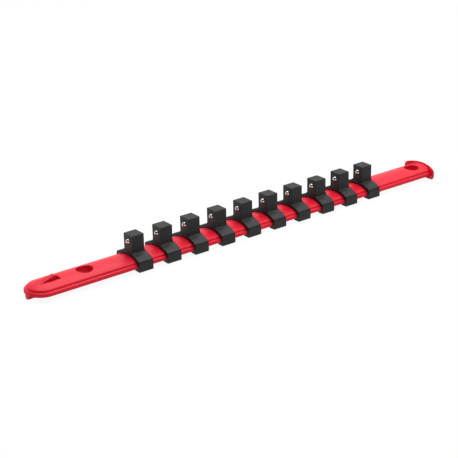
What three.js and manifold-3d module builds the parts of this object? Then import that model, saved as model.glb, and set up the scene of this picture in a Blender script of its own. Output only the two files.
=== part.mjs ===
// Socket rail: a red moulded rail that carries ten sliding clips, each with a square drive stud,
// a sprung detent ball and the coil spring behind it. A sprung latch tongue and an end stop keep
// the clips on the rail.
// Millimetres. X runs along the rail with the latch at its low end, Y across it, Z up.
// The origin lies midway along the rail, on the surface that the rail stands on.
import * as THREE from 'three';
import { mergeVertices } from 'three/addons/utils/BufferGeometryUtils.js';
import Module from 'manifold-3d';

const wasm = await Module();
wasm.setup();

// Rail: the moulding's outside
const railLength = 463.6;
const railWidth = 31.8;
const plateauWidth = 26.8;
const standHeight = 3.9; // gap between the bench and the rail's lower edges
const sideHeight = 1.55; // upright outer side of the rail's edge strips
const stripFall = 1.65; // fall of the rounded edge strips
const stepDepth = 1.8; // step from the plateau down to the strips
const crownSag = 2.7; // fall of the crowned plateau from its middle to its edges
const crownLand = 1.2; // half-width of the narrow flat along the crown
const plateauChamfer = 0.5;
const grooveLand = 0.3; // flat floor of the groove beside the plateau

// Rail: the hollow underneath
const plateWall = 2.4; // thickness under the plateau, which the latch tongue shares
const skirtWall = 2.4; // thickness of the outer skirts
const ribSpacing = 30;
const ribWall = 1.6;
const ribRecess = 0.8; // the ribs end this far above the skirts' lower edges

// Hanging holes
const hangingHole = 15; // diameter
const bossWall = 2.2;
const latchEndHoleInset = 56.6; // centre of the hole to the latch end's tip
const stopEndHoleInset = 17.4; // centre of the hole to the stop end's tip

// Latch tongue
const latchRootInset = 12; // root of the tongue to the rail's tip
const latchLength = 15.5;
const latchWidth = 7; // at its root
const latchTipWidth = 4.2; // at its free end
const latchRise = 3.5; // the free end stands this far above the rail's crown
const latchNose = 1.1; // rounding of the free end's top
const latchSideGap = 0.6;
const latchEndGap = 4; // open slot in front of the free end
const latchRootGap = 0.3; // stands for the living hinge, where the tongue parts from the rail
const slotRibGap = 0.5; // a cross rib stands this far behind the slot

// Foot under the latch end
const footWidth = 5.8;
const footLength = 8.5;
const footRound = 1.9;
const footInset = 0.4; // the foot's face lies this far inside the rail's end
const footPad = 1; // the solid root of the foot reaches this far round it in the hollow

// End stop
const stopWidth = 41.2;
const stopBow = 4.2; // the bowed wall's middle stands this far ahead of its tips
const stopWall = 2.8;
const stopRise = 2.05; // the middle of the wall's top stands this far above the rail's crown
const stopSag = 3.3; // fall of the wall's crowned top from its middle to its tips
const stopShoulder = 4.5; // rounding of the wall's upper corners, seen along the rail
const stopCorner = 4.4; // rounding of its lower corners
const stopFillet = 1.1; // fillet between the plateau and the wall
const filletSink = 0.2; // the fillet's edges lie this far inside the plateau and the wall
const filletInset = 0.9; // the fillet ends this far inside the plateau's edges

// Clips
const clipCount = 10;
const clipPitch = 30;
const rowOffset = -1.4; // the row's middle from midway between the latch slot and the stop's tips
const clipLength = 14.8; // along the rail
const clipSideWall = 1.7;
const clipShoulder = 2.2; // rounding where the arch meets the side
const clipFloorRound = 0.7; // rounding of the side's lower edge
const clipEdge = 0.5; // softened edges of the two end faces
const saddleRise = 3.4; // top of the arch above the rail's crown
const archRadius = 33.3;
const lipWall = 3.1; // thickness of the lips that hook under the rail
const lipReach = 7.5; // the lips reach this far in from the clip's sides
const slideClearance = 0.3;

// Drive studs
const studSide = 12.7; // half inch square drive
const studHeight = 15.4; // above the arch
const studCorner = 0.5;
const studChamfer = 0.35;
const studRoot = 0.7; // flare where the stud stands on the arch

// Detent: a steel ball pushed out of the stud's face by a coil spring in a blind bore
const ballDiameter = 5;
const ballDrop = 6.4; // centre of the ball below the stud's top
const ballDepth = 0.7; // centre of the ball behind the stud's face
const lipMouthDiameter = 4.9; // narrower than the ball, so that the ball can't leave
const lipDepth = 0.9; // the mouth widens to the bore over this depth
const boreDiameter = 5.4;
const boreDepth = 9;
const springWire = 0.5; // diameter
const springDiameter = 4; // outside
const springTurns = 3.5;
const springSeat = 0.3; // gap between the spring, the ball and the bore's end

// Finish
const redPlastic = { color: 0xe3263c, roughness: 0.38, metalness: 0 };
const blackPlastic = { color: 0x29292b, roughness: 0.55, metalness: 0 };
const ballSteel = { color: 0xd9dadc, roughness: 0.15, metalness: 1 };
const springSteel = { color: 0x9c9ea2, roughness: 0.35, metalness: 1 };

// Modelling: cuts run past what they cut by the overrun, and joined forms sink in by the seat
const overrun = 2;
const seat = 0.8;
const weld = 1e-4;

// Steps of the round forms
const endSteps = 18;
const stopSteps = 14;
const crownSteps = 5;
const stripSteps = 3;
const holeSteps = 24;
const boreSteps = 24;
const archSteps = 8;
const cornerSteps = 3;
const tipSteps = 4;
const filletSteps = 3;
const filletRings = 11;
const ballSegments = 12;
const ballRings = 8;
const curlSteps = 8;
const wireSides = 5;

const quarter = Math.PI / 2;

// Sizes that follow from the driving ones
const railHalf = railWidth / 2;
const plateauHalf = plateauWidth / 2;
const latchTip = -railLength / 2;
const stopTip = railLength / 2;
const undersideZ = standHeight;
const stripEdgeZ = undersideZ + sideHeight;
const grooveZ = stripEdgeZ + stripFall;
const plateauEdgeZ = grooveZ + stepDepth;
const crownZ = plateauEdgeZ + crownSag;
const crownRadius = (plateauHalf ** 2 + crownSag ** 2) / (2 * crownSag);
const endCentreX = latchTip + railHalf;

const stopTopZ = crownZ + stopRise;
const stopCrownRadius = ((stopWidth / 2) ** 2 + stopSag ** 2) / (2 * stopSag);
const stopRadius = ((stopWidth / 2) ** 2 + stopBow ** 2) / (2 * stopBow);
const stopInner = stopRadius - stopWall;
const stopMiddle = stopRadius - stopWall / 2;
const stopCentreX = stopTip - stopRadius;
const stopHalfTurn = Math.asin((stopWidth / 2 - stopWall / 2) / stopMiddle);

const latchRootX = latchTip + latchRootInset;
const latchFreeX = latchRootX + latchLength;
const latchSlotX = latchFreeX + latchEndGap;
const holeXs = [latchTip + latchEndHoleInset, stopTip - stopEndHoleInset];

const stopTipX = stopCentreX + stopInner * Math.cos(stopHalfTurn);
const rowMiddleX = (latchSlotX + stopTipX) / 2 + rowOffset;
const clipHalf = railHalf + slideClearance + clipSideWall;
const clipFloorZ = undersideZ - slideClearance - lipWall;
const lipInnerY = clipHalf - lipReach;
const saddleZ = crownZ + saddleRise;
const studTopZ = saddleZ + studHeight;
const ballZ = studTopZ - ballDrop;
const ballRadius = ballDiameter / 2;

// Points of an arc in a plane, from one angle to another.
function arc(cx, cy, radius, from, to, steps) {
  const points = [];
  for (let i = 0; i <= steps; i += 1) {
    const turn = from + ((to - from) * i) / steps;
    points.push(new THREE.Vector2(cx + radius * Math.cos(turn), cy + radius * Math.sin(turn)));
  }
  return points;
}

// A closed geometry as a solid for joining and cutting, with its faces pointing out.
function solid(geometry) {
  const bare = geometry.clone();
  bare.deleteAttribute('normal');
  bare.deleteAttribute('uv');
  const merged = mergeVertices(bare, weld);
  const place = merged.getAttribute('position');
  const triVerts = new Uint32Array(merged.index.array);
  const [a, b, c] = [new THREE.Vector3(), new THREE.Vector3(), new THREE.Vector3()];
  let volume = 0;
  for (let i = 0; i < triVerts.length; i += 3) {
    a.fromBufferAttribute(place, triVerts[i]);
    b.fromBufferAttribute(place, triVerts[i + 1]);
    c.fromBufferAttribute(place, triVerts[i + 2]);
    volume += a.dot(b.cross(c));
  }
  if (volume < 0) triVerts.reverse();
  const vertProperties = new Float32Array(place.array);
  return new wasm.Manifold(new wasm.Mesh({ numProp: 3, vertProperties, triVerts }));
}

function geometryOf(body) {
  const mesh = body.getMesh();
  const geometry = new THREE.BufferGeometry();
  geometry.setAttribute('position', new THREE.BufferAttribute(mesh.vertProperties, 3));
  geometry.setIndex(new THREE.BufferAttribute(mesh.triVerts, 1));
  const faceted = geometry.toNonIndexed();
  faceted.computeVertexNormals();
  return faceted;
}

function joined(bodies) {
  return bodies.reduce((all, body) => all.add(body));
}

// A closed body through rings of as many points each. Both ends close with a fan from the ring's
// first point, which has to see the whole ring.
function loft(rings) {
  const width = rings[0].length;
  const index = [];
  for (let ring = 0; ring + 1 < rings.length; ring += 1) {
    for (let i = 0; i < width; i += 1) {
      const here = ring * width + i;
      const next = ring * width + ((i + 1) % width);
      index.push(here, next, next + width, here, next + width, here + width);
    }
  }
  const last = (rings.length - 1) * width;
  for (let i = 1; i + 1 < width; i += 1) {
    index.push(0, i + 1, i);
    index.push(last, last + i, last + i + 1);
  }
  const geometry = new THREE.BufferGeometry();
  geometry.setFromPoints(rings.flat());
  geometry.setIndex(index);
  return solid(geometry);
}

// Prisms: an outline in the plane across the rail, run along X; one in the rail's long upright
// plane, run along Y; and one seen from above, run upwards.
function prismAlongX(outline, fromX, toX) {
  const options = { depth: toX - fromX, bevelEnabled: false };
  return layAlongX(new THREE.ExtrudeGeometry(new THREE.Shape(outline), options), fromX);
}

// Turns an extruded outline from its own plane to stand across the rail.
function layAlongX(geometry, fromX) {
  const [across, up, along] = [
    new THREE.Vector3(0, 1, 0),
    new THREE.Vector3(0, 0, 1),
    new THREE.Vector3(1, 0, 0),
  ];
  geometry.applyMatrix4(new THREE.Matrix4().makeBasis(across, up, along));
  geometry.translate(fromX, 0, 0);
  return solid(geometry);
}

function prismAlongY(outline, width) {
  const options = { depth: width, bevelEnabled: false };
  const geometry = new THREE.ExtrudeGeometry(new THREE.Shape(outline), options);
  geometry.rotateX(quarter);
  geometry.translate(0, width / 2, 0);
  return solid(geometry);
}

function prismUp(outline, fromZ, toZ) {
  const options = { depth: toZ - fromZ, bevelEnabled: false };
  const geometry = new THREE.ExtrudeGeometry(new THREE.Shape(outline), options);
  geometry.translate(0, 0, fromZ);
  return solid(geometry);
}

function block(fromX, toX, width, fromZ, toZ) {
  const geometry = new THREE.BoxGeometry(toX - fromX, width, toZ - fromZ);
  geometry.translate((fromX + toX) / 2, 0, (fromZ + toZ) / 2);
  return solid(geometry);
}

// An upright round post at a place on the rail's middle line.
function post(x, radius, fromZ, toZ) {
  const geometry = new THREE.CylinderGeometry(radius, radius, toZ - fromZ, holeSteps);
  geometry.rotateX(quarter);
  geometry.translate(x, 0, (fromZ + toZ) / 2);
  return solid(geometry);
}

// An outline that is the same on both sides of the middle, from its points on the +Y side.
function mirrored(points) {
  const other = points.map((point) => new THREE.Vector2(-point.x, point.y)).reverse();
  return [...points, ...other];
}

// An outline's arched top with rounded shoulders, from its +Y side to its -Y side.
function archedTop(half, topZ, radius, shoulder) {
  const middleZ = topZ - radius;
  const inner = half - shoulder;
  const shoulderZ = middleZ + Math.sqrt((radius - shoulder) ** 2 - inner ** 2);
  const meet = Math.atan2(shoulderZ - middleZ, inner);
  return [
    ...arc(inner, shoulderZ, shoulder, 0, meet, cornerSteps),
    ...arc(0, middleZ, radius, meet, 2 * quarter - meet, archSteps).slice(1, -1),
    ...arc(-inner, shoulderZ, shoulder, 2 * quarter - meet, 2 * quarter, cornerSteps),
  ];
}

// Height of the crowned plateau at a distance from the rail's middle line.
function crownAt(distance) {
  return crownZ - crownRadius + Math.sqrt(crownRadius ** 2 - distance ** 2);
}

// The rail's half section, from its lower edge up to the crown, grown outwards by a clearance:
// x is the distance from the middle, y the height.
function railProfile(grow) {
  const grooveY = plateauHalf + grooveLand;
  const points = [new THREE.Vector2(railHalf + grow, undersideZ - grow)];
  for (let i = 0; i <= stripSteps; i += 1) {
    const turn = (quarter * i) / stripSteps;
    const y = grooveY + grow + (railHalf - grooveY) * Math.cos(turn);
    const z = stripEdgeZ + grow + stripFall * Math.sin(turn);
    points.push(new THREE.Vector2(y, z));
  }
  points.push(new THREE.Vector2(plateauHalf + grow, grooveZ + grow));
  const shoulder = plateauHalf - plateauChamfer;
  const chamferZ = crownAt(shoulder) - plateauChamfer;
  points.push(new THREE.Vector2(plateauHalf + grow, chamferZ + grow));
  for (let i = 0; i <= crownSteps; i += 1) {
    const y = shoulder + ((crownLand - shoulder) * i) / crownSteps;
    points.push(new THREE.Vector2(y, crownAt(y) + grow));
  }
  return points;
}

// A level ring of the rail: half round at the latch end, and bowed with the end stop's wall.
function railRing(half, z) {
  const reach = Math.asin(half / stopMiddle);
  const latchEnd = arc(endCentreX, 0, half, quarter, 3 * quarter, endSteps);
  const stopEnd = arc(stopCentreX, 0, stopMiddle, -reach, reach, stopSteps);
  return [...latchEnd, ...stopEnd].map((point) => new THREE.Vector3(point.x, point.y, z));
}

function railShell() {
  return loft(railProfile(0).map((point) => railRing(point.x, point.y)));
}

// The hollow between the skirts, one wall inside the shell.
function railHollow() {
  const skirtHalf = railHalf - skirtWall;
  const ceilingHalf = plateauHalf - plateWall;
  const rings = [
    [skirtHalf, undersideZ - overrun],
    [skirtHalf, undersideZ],
  ];
  for (let i = 0; i <= crownSteps; i += 1) {
    const half = ceilingHalf + ((crownLand - ceilingHalf) * i) / crownSteps;
    rings.push([half, crownAt(half) - plateWall]);
  }
  return loft(rings.map(([half, z]) => hollowRing(half, z)));
}

// The hollow ends square, one wall before the end stop.
function hollowRing(half, z) {
  const endX = stopCentreX + stopInner * Math.cos(stopHalfTurn) - plateWall;
  const latchEnd = arc(endCentreX, 0, half, quarter, 3 * quarter, endSteps);
  const stopEnd = [new THREE.Vector2(endX, -half), new THREE.Vector2(endX, half)];
  return [...latchEnd, ...stopEnd].map((point) => new THREE.Vector3(point.x, point.y, z));
}

// A cross rib under the plateau, from its side that looks at the latch end.
function crossRib(from) {
  return block(from, from + ribWall, railWidth - skirtWall, undersideZ + ribRecess, crownZ);
}

// Walls under the latch slot's sides, down to the ribs' level; the slot is cut through them.
function slotWalls() {
  const width = latchWidth + 2 * (latchSideGap + ribWall);
  return block(latchRootX, latchSlotX + slotRibGap, width, undersideZ + ribRecess, crownZ);
}

// One cross rib stands behind the latch slot, and the others at even steps between the two
// hanging holes' bosses.
function railRibs() {
  const bossReach = hangingHole / 2 + bossWall + ribWall;
  const span = holeXs[1] - holeXs[0] - 2 * bossReach;
  const middle = (holeXs[0] + holeXs[1]) / 2;
  const steps = Math.floor(span / ribSpacing);
  const ribs = [slotWalls(), crossRib(latchSlotX + slotRibGap)];
  for (let i = 0; i <= steps; i += 1) {
    const x = middle + (i - steps / 2) * ribSpacing;
    ribs.push(crossRib(x - ribWall / 2));
  }
  return ribs;
}

function hangingHoles(radius, fromZ, toZ) {
  return holeXs.map((x) => post(x, radius, fromZ, toZ));
}

// The foot under the latch end: a short keel with rounded lower edges, inside the end's curve.
function latchFoot() {
  const half = footWidth / 2;
  const side = arc(half - footRound, footRound, footRound, -quarter, 0, cornerSteps);
  const outline = mirrored([...side, new THREE.Vector2(half, stripEdgeZ)]);
  const keel = prismAlongX(outline, latchTip - overrun, latchTip + footLength);
  return keel.intersect(post(endCentreX, railHalf - footInset, -overrun, crownZ));
}

function footRoot() {
  const width = footWidth + 2 * footPad;
  return block(latchTip - overrun, latchTip + footLength + footPad, width, -overrun, crownZ);
}

// The end stop: a bowed upright wall with rounded tips and a crowned top.
function endStop() {
  const side = stopWidth / 2 - stopCorner;
  const plan = [
    ...arc(stopCentreX, 0, stopRadius, -stopHalfTurn, stopHalfTurn, stopSteps),
    ...stopTipCap(stopHalfTurn, stopHalfTurn),
    ...arc(stopCentreX, 0, stopInner, stopHalfTurn, -stopHalfTurn, stopSteps),
    ...stopTipCap(-stopHalfTurn, -stopHalfTurn + 2 * quarter),
  ];
  const face = [
    ...arc(side, stopCorner, stopCorner, -quarter, 0, tipSteps),
    ...archedTop(stopWidth / 2, stopTopZ, stopCrownRadius, stopShoulder),
    ...arc(-side, stopCorner, stopCorner, 2 * quarter, 3 * quarter, tipSteps),
  ];
  const wall = prismUp(plan, -overrun, stopTopZ + overrun);
  return wall.intersect(prismAlongX(face, stopTipX - stopBow, stopTip + overrun));
}

// The half round that closes the wall's plan at one tip.
function stopTipCap(place, from) {
  const x = stopCentreX + stopMiddle * Math.cos(place);
  const y = stopMiddle * Math.sin(place);
  const round = arc(x, y, stopWall / 2, from, from + 2 * quarter, 2 * cornerSteps);
  return round.slice(1, -1);
}

// The concave fillet where the crowned plateau meets the end stop.
function stopSeat() {
  const reach = Math.asin((plateauHalf - filletInset) / stopInner);
  const foot = stopInner - stopFillet + filletSink;
  const rise = stopFillet - filletSink;
  const section = [
    new THREE.Vector2(stopInner + seat, -seat),
    new THREE.Vector2(foot, -seat),
    ...arc(foot, rise, stopFillet, -quarter, 0, filletSteps),
    new THREE.Vector2(stopInner + seat, rise),
  ];
  const rings = [];
  for (let i = 0; i <= filletRings; i += 1) {
    const turn = reach * ((2 * i) / filletRings - 1);
    rings.push(
      section.map((point) => {
        const x = stopCentreX + point.x * Math.cos(turn);
        const y = point.x * Math.sin(turn);
        return new THREE.Vector3(x, y, crownAt(Math.abs(y)) + point.y);
      }),
    );
  }
  return loft(rings);
}

function latchSlot() {
  const width = latchWidth + 2 * latchSideGap;
  return block(latchRootX - latchRootGap, latchSlotX, width, undersideZ, crownZ + overrun);
}

// The hollow is cut round the bosses, the ribs and the foot's root, which so stay in the shell.
function railBody() {
  const bosses = hangingHoles(hangingHole / 2 + bossWall, -overrun, crownZ);
  const hollow = railHollow().subtract(joined([...bosses, ...railRibs(), footRoot()]));
  const whole = joined([railShell().subtract(hollow), latchFoot(), endStop(), stopSeat()]);
  const holes = hangingHoles(hangingHole / 2, -overrun, crownZ + overrun);
  return whole.subtract(joined([...holes, latchSlot()]));
}

// The latch tongue: a ramp that starts level with the crown and ends in a steep rounded nose.
function latchTongue() {
  const floorZ = crownZ - plateWall;
  const rootTopZ = crownAt(Math.hypot(endCentreX - latchRootX, latchWidth / 2));
  const noseZ = crownZ + latchRise;
  const slope = Math.atan2(noseZ - rootTopZ, latchLength);
  const nose = arc(
    latchFreeX - latchNose,
    noseZ - latchNose,
    latchNose,
    0,
    quarter + slope,
    cornerSteps,
  );
  const outline = [
    new THREE.Vector2(latchRootX, floorZ),
    new THREE.Vector2(latchFreeX, floorZ),
    ...nose,
    new THREE.Vector2(latchRootX, rootTopZ),
  ];
  const plan = [latchPlanRing(floorZ - overrun), latchPlanRing(noseZ + overrun)];
  return prismAlongY(outline, latchWidth).intersect(loft(plan));
}

// The tongue's narrowing outline seen from above, run past both of its ends.
function latchPlanRing(z) {
  const narrowing = (latchWidth - latchTipWidth) / 2 / latchLength;
  const rootHalf = latchWidth / 2 + narrowing * overrun;
  const freeHalf = latchTipWidth / 2 - narrowing * overrun;
  return [
    new THREE.Vector3(latchRootX - overrun, -rootHalf, z),
    new THREE.Vector3(latchFreeX + overrun, -freeHalf, z),
    new THREE.Vector3(latchFreeX + overrun, freeHalf, z),
    new THREE.Vector3(latchRootX - overrun, rootHalf, z),
  ];
}

// The clip's outside: an arch over the rail with softened end faces.
function clipArch() {
  const floorY = clipHalf - clipFloorRound;
  const floorZ = clipFloorZ + clipFloorRound;
  const outline = [
    ...arc(floorY, floorZ, clipFloorRound, -quarter, 0, cornerSteps),
    ...archedTop(clipHalf, saddleZ, archRadius, clipShoulder),
    ...arc(-floorY, floorZ, clipFloorRound, 2 * quarter, 3 * quarter, cornerSteps),
  ];
  const geometry = new THREE.ExtrudeGeometry(new THREE.Shape(outline), {
    depth: clipLength - 2 * clipEdge,
    bevelThickness: clipEdge,
    bevelSize: clipEdge,
    bevelOffset: -clipEdge,
    bevelSegments: 1,
  });
  return layAlongX(geometry, clipEdge - clipLength / 2);
}

// The way that the rail takes through the clip, open below between the two lips.
function clipTunnel() {
  const lips = [
    new THREE.Vector2(lipInnerY, clipFloorZ - overrun),
    new THREE.Vector2(lipInnerY, undersideZ - slideClearance),
  ];
  const outline = mirrored([...lips, ...railProfile(slideClearance)]);
  return prismAlongX(outline, -clipLength, clipLength);
}

// A level square ring with rounded corners.
function studRing(half, z) {
  const inner = half - studCorner;
  const points = [];
  for (let corner = 0; corner < 4; corner += 1) {
    const from = corner * quarter;
    const cx = inner * Math.sign(Math.cos(from + quarter / 2));
    const cy = inner * Math.sign(Math.sin(from + quarter / 2));
    points.push(...arc(cx, cy, studCorner, from, from + quarter, cornerSteps));
  }
  return points.map((point) => new THREE.Vector3(point.x, point.y, z));
}

// The square drive stud, flared where it stands on the arch and chamfered at its top.
function stud() {
  const half = studSide / 2;
  const archFall = archRadius - Math.sqrt(archRadius ** 2 - (half + studRoot) ** 2);
  const rootZ = saddleZ - archFall;
  return loft([
    studRing(half + studRoot, rootZ - seat),
    studRing(half + studRoot, rootZ),
    studRing(half, rootZ + studRoot),
    studRing(half, studTopZ - studChamfer),
    studRing(half - studChamfer, studTopZ),
  ]);
}

// The blind bore for the spring and the ball, seen from the stud's face inwards: a mouth that is
// narrower than the ball and widens to the bore behind it.
function detentBore() {
  const profile = [
    new THREE.Vector2(0, -overrun),
    new THREE.Vector2(lipMouthDiameter / 2, -overrun),
    new THREE.Vector2(lipMouthDiameter / 2, 0),
    new THREE.Vector2(boreDiameter / 2, lipDepth),
    new THREE.Vector2(boreDiameter / 2, boreDepth),
    new THREE.Vector2(0, boreDepth),
  ];
  const geometry = new THREE.LatheGeometry(profile, boreSteps);
  geometry.rotateZ(-quarter);
  geometry.translate(-studSide / 2, 0, ballZ);
  return solid(geometry);
}

function clipBody() {
  return clipArch().add(stud()).subtract(clipTunnel()).subtract(detentBore());
}

// The detent spring: an open coil whose wire is one unbroken tube along X, from its ball end.
function coilPoint(turn, length) {
  const radius = (springDiameter - springWire) / 2;
  const x = springWire / 2 + ((length - springWire) * turn) / springTurns;
  const angle = 4 * quarter * turn;
  return new THREE.Vector3(x, radius * Math.cos(angle), radius * Math.sin(angle));
}

function detentSpring(length) {
  const steps = Math.round(springTurns * curlSteps);
  const radius = (springDiameter - springWire) / 2;
  const rise = (length - springWire) / springTurns;
  const rings = [];
  for (let i = 0; i <= steps; i += 1) {
    const turn = (springTurns * i) / steps;
    const angle = 4 * quarter * turn;
    const middle = coilPoint(turn, length);
    const outward = new THREE.Vector3(0, Math.cos(angle), Math.sin(angle));
    const swing = 4 * quarter * radius;
    const along = new THREE.Vector3(rise, -swing * Math.sin(angle), swing * Math.cos(angle));
    const aside = along.normalize().cross(outward);
    rings.push(
      arc(0, 0, springWire / 2, 0, 4 * quarter, wireSides)
        .slice(0, -1)
        .map((point) =>
          middle.clone().addScaledVector(outward, point.x).addScaledVector(aside, point.y),
        ),
    );
  }
  return loft(rings);
}

// The least gap between two of the spring's turns, measured on points along its wire.
function leastCoilGap(length) {
  const samples = Math.round(springTurns * curlSteps * curlSteps);
  const points = [];
  for (let i = 0; i <= samples; i += 1) points.push(coilPoint((springTurns * i) / samples, length));
  const halfTurn = samples / springTurns / 2;
  let least = Infinity;
  points.forEach((point, i) => {
    for (let j = Math.ceil(i + halfTurn); j < points.length; j += 1) {
      least = Math.min(least, point.distanceTo(points[j]));
    }
  });
  return least - springWire;
}

// The spring starts behind the ball, where its coil would seat on the ball's back.
function springStart() {
  const inside = springDiameter / 2 - springWire;
  return ballDepth + Math.sqrt(ballRadius ** 2 - inside ** 2) + springSeat;
}

function named(name, geometry, finish) {
  const mesh = new THREE.Mesh(geometry, new THREE.MeshStandardMaterial(finish));
  mesh.name = name;
  return mesh;
}

const springLength = boreDepth - springSeat - springStart();
const clipGeometry = geometryOf(clipBody());
const springGeometry = geometryOf(detentSpring(springLength));
const ballGeometry = new THREE.SphereGeometry(ballRadius, ballSegments, ballRings);
console.log('least gap between the spring turns, mm:', leastCoilGap(springLength).toFixed(2));

// One place on the rail: a clip with its ball and spring.
function station(number) {
  const label = String(number + 1).padStart(2, '0');
  const place = new THREE.Group();
  place.position.x = rowMiddleX + (number - (clipCount - 1) / 2) * clipPitch;
  const ball = named(`detent_ball_${label}`, ballGeometry.clone(), ballSteel);
  ball.position.set(ballDepth - studSide / 2, 0, ballZ);
  const spring = named(`detent_spring_${label}`, springGeometry.clone(), springSteel);
  spring.position.set(springStart() - studSide / 2, 0, ballZ);
  place.add(named(`clip_${label}`, clipGeometry.clone(), blackPlastic), ball, spring);
  return place;
}

const socketRail = new THREE.Group();
socketRail.add(named('rail', geometryOf(railBody()), redPlastic));
socketRail.add(named('latch_tongue', geometryOf(latchTongue()), redPlastic));
for (let number = 0; number < clipCount; number += 1) socketRail.add(station(number));

export default socketRail;
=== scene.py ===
"""A socket rail: a red moulded rail that carries ten sliding clips with square drive studs,
sprung balls and a latch ramp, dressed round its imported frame.

Sizes are in metres, in the frame's axes: X along the rail from the latch end to the end stop,
Y across it and Z up. The rail stands on z = 0.
"""

import math

import bmesh
import bpy
from bpy.props import FloatProperty, FloatVectorProperty, IntProperty, PointerProperty
from mathutils import Matrix, Vector


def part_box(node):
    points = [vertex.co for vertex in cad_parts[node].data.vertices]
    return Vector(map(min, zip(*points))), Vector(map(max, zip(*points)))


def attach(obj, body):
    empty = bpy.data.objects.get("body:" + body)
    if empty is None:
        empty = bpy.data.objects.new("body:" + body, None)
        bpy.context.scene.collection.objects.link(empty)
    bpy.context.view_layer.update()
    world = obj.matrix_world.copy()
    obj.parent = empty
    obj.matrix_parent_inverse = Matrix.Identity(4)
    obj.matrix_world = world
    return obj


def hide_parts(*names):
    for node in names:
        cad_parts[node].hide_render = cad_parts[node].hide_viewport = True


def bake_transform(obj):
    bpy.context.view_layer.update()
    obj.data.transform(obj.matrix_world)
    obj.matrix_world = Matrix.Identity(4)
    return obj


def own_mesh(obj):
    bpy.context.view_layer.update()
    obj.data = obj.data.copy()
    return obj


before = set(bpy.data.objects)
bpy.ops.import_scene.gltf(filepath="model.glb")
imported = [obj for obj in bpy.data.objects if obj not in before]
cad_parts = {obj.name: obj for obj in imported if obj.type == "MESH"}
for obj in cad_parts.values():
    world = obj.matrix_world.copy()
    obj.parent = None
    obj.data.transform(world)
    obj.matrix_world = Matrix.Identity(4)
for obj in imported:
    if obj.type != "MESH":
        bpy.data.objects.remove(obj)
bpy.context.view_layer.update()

bl_info = {
    "name": "Socket rail",
    "version": (1, 0, 0),
    "blender": (4, 5, 0),
    "location": "View3D > Sidebar > Socket rail",
    "description": "Builds a socket rail with its latch ramp, clips, balls and springs",
    "category": "Add Mesh",
}

MM = 0.001
QUARTER = math.pi / 2
WHITE = (1, 1, 1, 1)
RAIL_LOW, RAIL_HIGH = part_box("rail")
RAMP_LOW, RAMP_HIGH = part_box("latch_tongue")
CLIP_LOW, CLIP_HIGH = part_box("clip_01")
BALL_LOW, BALL_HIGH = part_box("detent_ball_01")
SPRING_LOW, SPRING_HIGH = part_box("detent_spring_01")
RAMP_HALF = (RAMP_HIGH.y - RAMP_LOW.y) / 2
CLIP_NUMBERS = sorted(name[-2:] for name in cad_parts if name.startswith("clip_"))
OVERRUN = 2 * MM  # cutters run this far past what they cut
SEAT = 0.8 * MM  # joined forms sink this far into each other
MERGE = 0.002 * MM  # points nearer than this are one
SHARP_ANGLE = math.radians(33)  # edges that turn more than this stay crisp
HINGE_GAP = 0.3 * MM  # from the ramp's root back to the slot's end
RAMP_TUCK = 0.45 * MM  # the ramp reaches this far back, past the gap and into the rail
RAMP_SINK = 0.02 * MM  # and lies this far under the plateau there
RAMP_LIFT = 0.35  # share of the ramp over which it leaves the plateau


def length(name, description, millimetres):
    size = millimetres * MM
    return FloatProperty(
        name=name, description=description, default=size, min=0, precision=5, unit="LENGTH"
    )


def amount(name, description, default, **limits):
    return FloatProperty(name=name, description=description, default=default, **limits)


def vector(name, description, default, **kind):
    return FloatVectorProperty(name=name, description=description, default=default, **kind)


def direction(name, description, default):
    return vector(name, description, default, subtype="DIRECTION")


def colour(name, description, default):
    return vector(name, description, default, min=0, max=1, subtype="COLOR")


class RailSizes(bpy.types.PropertyGroup):
    """Sizes of the rail moulding."""

    width: length("Width", "Across the two edge strips", 31.8)
    plateau_width: length("Plateau width", "Across the crowned plateau", 26.8)
    stand_height: length("Stand height", "From the bench to the lower edges", 3.9)
    side_height: length("Side height", "Upright outer side of the strips", 1.55)
    strip_fall: length("Strip fall", "Fall of the rounded edge strips", 1.65)
    step_depth: length("Step depth", "From the plateau down to the groove", 1.8)
    crown_sag: length("Crown sag", "Fall of the plateau from its middle to its edges", 2.7)
    crown_land: length("Crown land", "Half-width of the flat along the crown", 0.4)
    shoulder_round: length("Shoulder rounding", "Edge of the plateau", 2.1)
    groove_land: length("Groove", "Width of the groove's floor", 0.55)
    groove_lean: length("Groove lean", "The groove's foot stands this far out", 0.5)
    groove_round: length("Groove rounding", "Foot of the step beside the plateau", 0.75)
    lower_round: length("Lower rounding", "Lower outer edge", 0.2)
    rim_round: length("Rim rounding", "Edges of the holes and of the slot", 0.28)
    plate_wall: length("Plate", "Thickness under the plateau", 2.4)
    skirt_wall: length("Skirt", "Thickness of the outer skirts", 2.4)
    hole_diameter: length("Hanging hole", "Diameter of the two holes", 15)
    latch_hole_inset: length("Latch-end hole", "Its centre from the latch tip", 56.6)
    stop_hole_inset: length("Stop-end hole", "Its centre from the stop tip", 17.4)
    hole_draft: length("Hole draft", "Each hole's wall leans in this far by its lower end", 0.45)
    boss_wall: length("Boss wall", "Ring round each hole underneath", 2.2)
    rib_spacing: length("Rib spacing", "From one cross rib to the next", 30)
    rib_wall: length("Rib", "Thickness of the cross ribs", 1.6)
    rib_recess: length("Rib recess", "From the lower edges up to the ribs", 0.8)
    slot_rib_gap: length("Slot rib", "From the latch slot back to the rib behind it", 0.5)
    foot_width: length("Foot width", "Across the foot under the latch end", 5.8)
    foot_length: length("Foot length", "From the latch tip along the rail", 8.5)
    foot_round: length("Foot rounding", "Lower edges of the foot", 1.9)
    foot_inset: length("Foot inset", "From the rail's end back to the foot's face", 0.4)


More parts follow.
